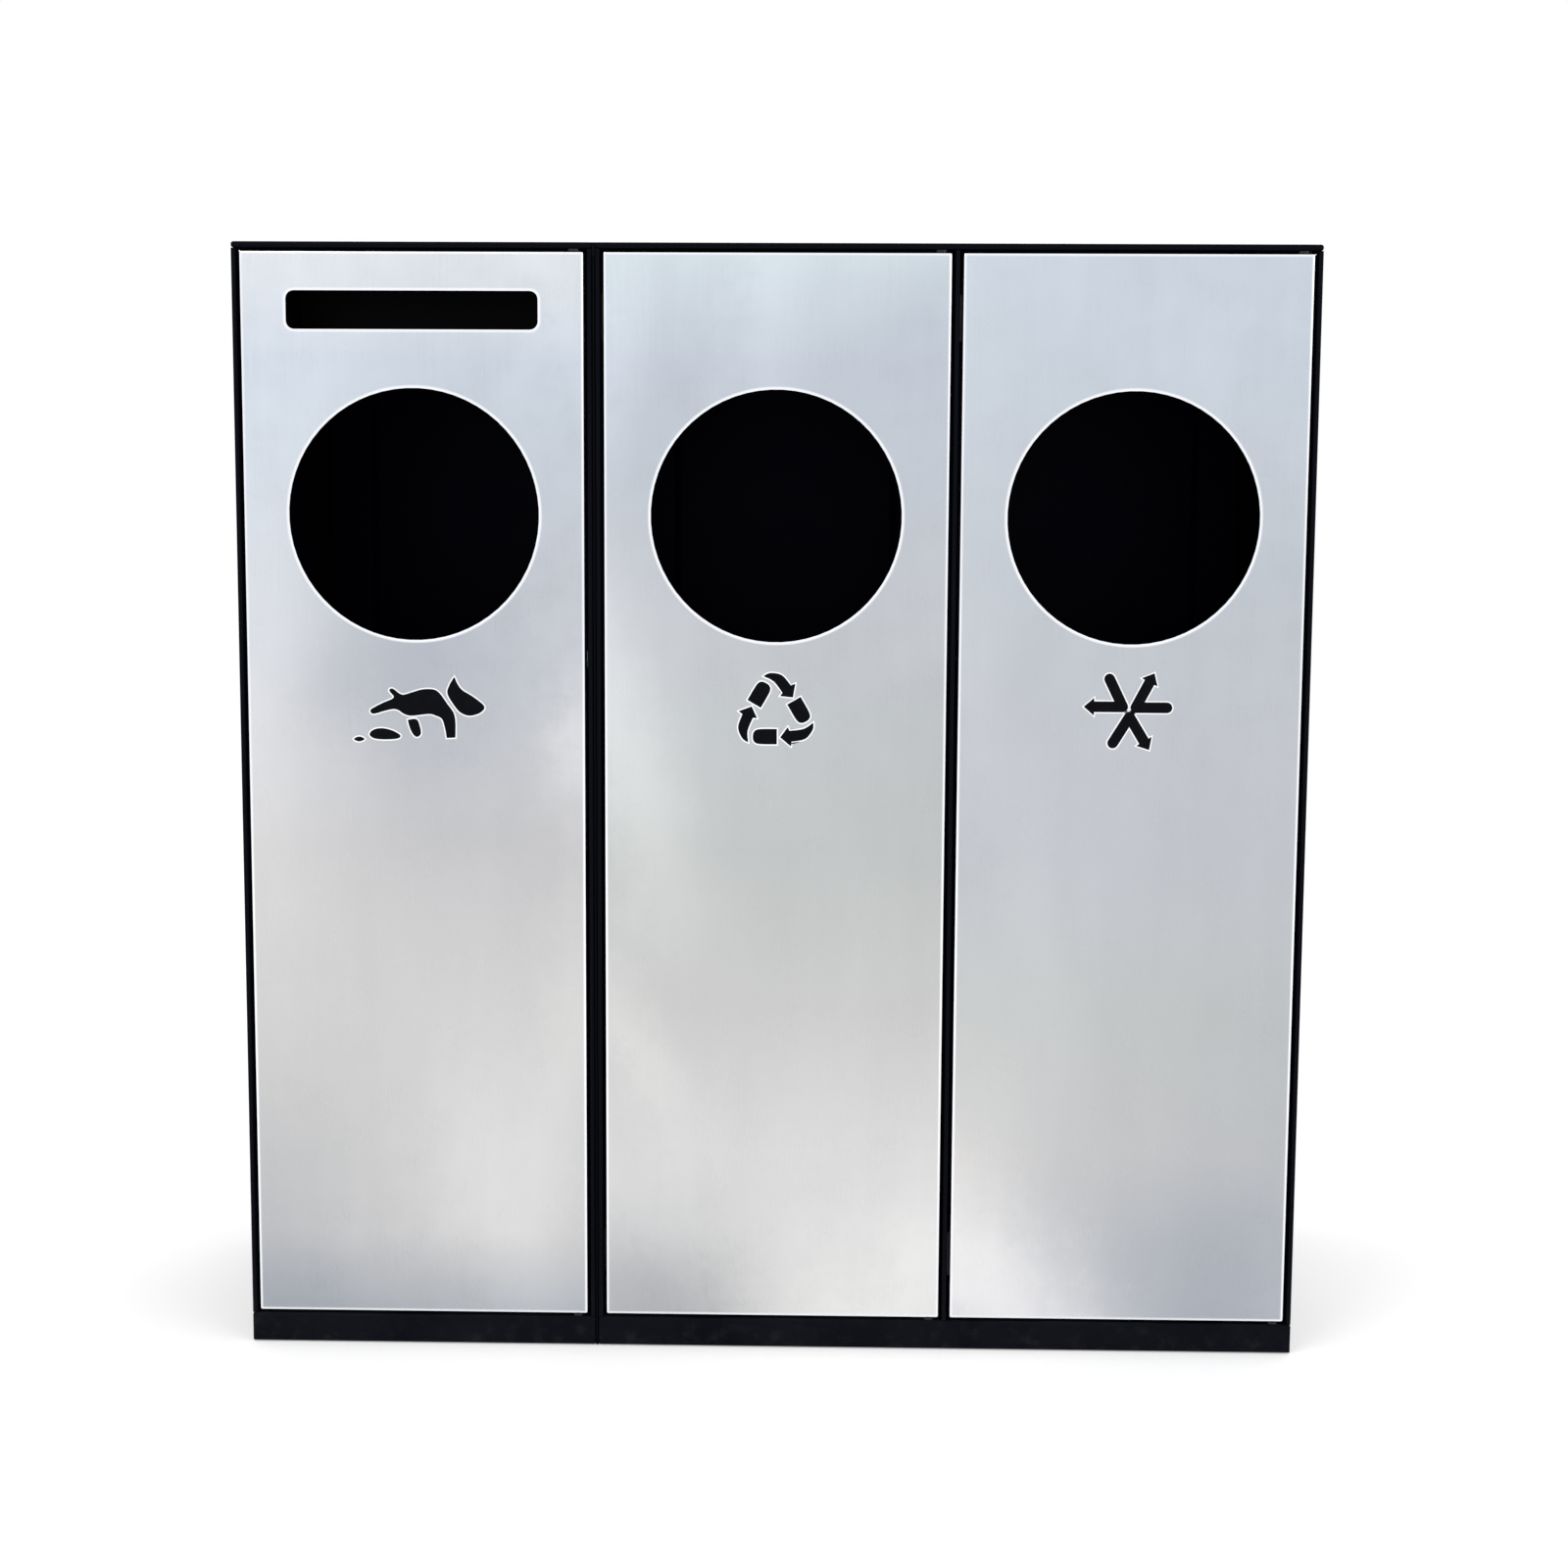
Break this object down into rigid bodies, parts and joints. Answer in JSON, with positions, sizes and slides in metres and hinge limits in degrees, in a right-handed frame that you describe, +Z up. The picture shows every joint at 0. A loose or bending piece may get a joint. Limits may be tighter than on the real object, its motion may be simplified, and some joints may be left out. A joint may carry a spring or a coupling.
{
  "type": "recycling bin station",
  "caption": "Free-standing recycling station of black sheet-steel cabinets with inset brushed steel doors, round inlets, a bag slot, and liners with bails.",
  "frame": {"origin": "on the ground under the centre of the whole station", "axes": "+X to the viewer's right, the doors face -Y, +Z up"},
  "size_m": [1.053, 0.45, 1.1],
  "materials": {
    "black_coat": "satin black powder coat",
    "stainless": "brushed",
    "dark_frame": "satin black",
    "pin_steel": "machined, zinc plated",
    "nylon": "moulded",
    "magnet_case": "moulded",
    "galvanised": "hot-dip galvanised sheet",
    "rubber": "moulded"
  },
  "bodies": {
    "cabinets": {"single_base": "black_coat", "single_roof": "black_coat", "single_back": "black_coat", "single_side_left": "black_coat", "single_side_right": "black_coat", "single_foot_front_left": "rubber", "single_foot_front_right": "rubber", "single_foot_rear_left": "rubber", "single_foot_rear_right": "rubber", "double_base": "black_coat", "double_roof": "black_coat", "double_back": "black_coat", "double_side_left": "black_coat", "double_side_right": "black_coat", "double_foot_front_left": "rubber", "double_foot_front_right": "rubber", "double_foot_rear_left": "rubber", "double_foot_rear_right": "rubber", "double_partition": "black_coat", "link_bolt_upper": "pin_steel", "link_bolt_lower": "pin_steel", "left_pivot_pin_lower": "pin_steel", "left_pivot_pin_upper": "pin_steel", "left_magnet_lower": "magnet_case", "left_magnet_upper": "magnet_case", "left_liner": "galvanised", "middle_pivot_pin_lower": "pin_steel", "middle_pivot_pin_upper": "pin_steel", "middle_magnet_lower": "magnet_case", "middle_magnet_upper": "magnet_case", "middle_liner": "galvanised", "right_pivot_pin_lower": "pin_steel", "right_pivot_pin_upper": "pin_steel", "right_magnet_lower": "magnet_case", "right_magnet_upper": "magnet_case", "right_liner": "galvanised"},
    "left_door": {"left_door_skin": "stainless", "left_door_frame": "dark_frame", "left_pivot_bush_lower": "nylon", "left_pivot_bush_upper": "nylon", "left_keeper_lower": "pin_steel", "left_keeper_upper": "pin_steel", "left_bag_tray": "dark_frame"},
    "left_bail": {"left_bail": "pin_steel"},
    "middle_door": {"middle_door_skin": "stainless", "middle_door_frame": "dark_frame", "middle_pivot_bush_lower": "nylon", "middle_pivot_bush_upper": "nylon", "middle_keeper_lower": "pin_steel", "middle_keeper_upper": "pin_steel"},
    "middle_bail": {"middle_bail": "pin_steel"},
    "right_door": {"right_door_skin": "stainless", "right_door_frame": "dark_frame", "right_pivot_bush_lower": "nylon", "right_pivot_bush_upper": "nylon", "right_keeper_lower": "pin_steel", "right_keeper_upper": "pin_steel"},
    "right_bail": {"right_bail": "pin_steel"}
  },
  "joints": [
    {"name": "left_door_hinge", "type": "hinge", "parent": "cabinets", "child": "left_door", "pos_m": [-0.1945, -0.217, 0.033], "axis": [0, 0, 1], "range_deg": [0, 95]},
    {"name": "left_bail_swing", "type": "hinge", "parent": "cabinets", "child": "left_bail", "pos_m": [-0.3515, 0.00335, 0.6841], "axis": [-1, 0, 0], "range_deg": [0, 180]},
    {"name": "middle_door_hinge", "type": "hinge", "parent": "cabinets", "child": "middle_door", "pos_m": [0.161, -0.217, 0.033], "axis": [0, 0, 1], "range_deg": [0, 95]},
    {"name": "middle_bail_swing", "type": "hinge", "parent": "cabinets", "child": "middle_bail", "pos_m": [0.0028, 0.00335, 0.6841], "axis": [-1, 0, 0], "range_deg": [0, 180]},
    {"name": "right_door_hinge", "type": "hinge", "parent": "cabinets", "child": "right_door", "pos_m": [0.5085, -0.217, 0.033], "axis": [0, 0, 1], "range_deg": [0, 95]},
    {"name": "right_bail_swing", "type": "hinge", "parent": "cabinets", "child": "right_bail", "pos_m": [0.3502, 0.00335, 0.6841], "axis": [-1, 0, 0], "range_deg": [0, 180]}
  ]
}
